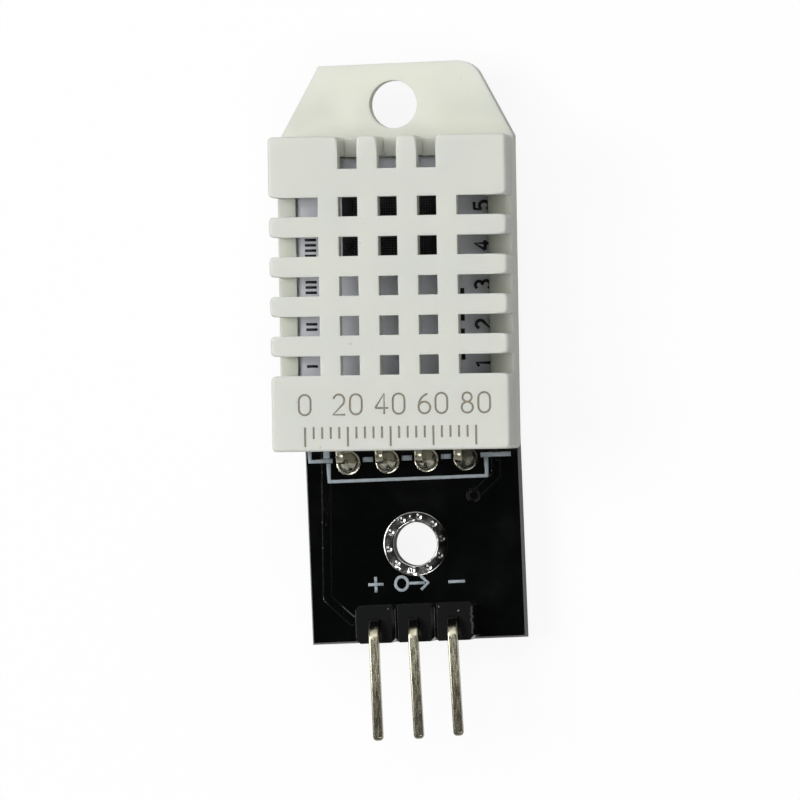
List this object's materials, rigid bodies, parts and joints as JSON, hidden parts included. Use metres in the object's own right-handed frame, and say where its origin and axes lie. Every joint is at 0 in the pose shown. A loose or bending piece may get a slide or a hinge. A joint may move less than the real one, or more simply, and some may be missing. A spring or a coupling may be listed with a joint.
{
  "type": "temperature and humidity sensor module",
  "caption": "White grille-fronted temperature and humidity sensor soldered flat on a black carrier board with a screw hole, bent plug pins and a mounting ear.",
  "frame": {"origin": "centre of the carrier board's mounting hole, on the board's back face", "axes": "+X across the board, to the right as the face is read; +Y along the board, from the plug towards the mounting ear; +Z out of the grille's face"},
  "size_m": [0.0157, 0.0435, 0.0108],
  "materials": {
    "solder_mask": "glossy black solder mask on glass-fibre laminate",
    "tinned_copper": "tin-plated copper",
    "solder": "bright solder",
    "black_plastic": "satin black moulded plastic",
    "pin_metal": "tin-plated brass wire",
    "chip_black": "matt black",
    "chip_tan": "tan ceramic",
    "white_plastic": "fine satin white moulded plastic",
    "white_mask": "white solder mask",
    "element_black": "matt black"
  },
  "bodies": {
    "root": {"carrier_board": "solder_mask", "mounting_ring": "tinned_copper", "sensor_pads": "tinned_copper", "header_pads": "tinned_copper", "sensor_joints": "solder", "header_joints": "solder", "header_body": "black_plastic", "header_pin_plus": "pin_metal", "header_pin_signal": "pin_metal", "header_pin_minus": "pin_metal", "pull_up_resistor": "chip_black", "bypass_capacitor": "chip_tan", "chip_end_caps": "tinned_copper", "chip_joints": "solder", "case_back": "white_plastic", "case_front": "white_plastic", "inner_board": "white_mask", "humidity_element_base": "element_black", "humidity_element_cover": "element_black", "thermistor": "chip_black", "controller_chip": "chip_black", "controller_legs": "pin_metal", "inner_capacitors": "chip_tan", "inner_resistors": "chip_black", "sensor_lead_1": "pin_metal", "sensor_lead_2": "pin_metal", "sensor_lead_3": "pin_metal", "sensor_lead_4": "pin_metal", "inner_lead_joints": "solder"}
  },
  "joints": []
}
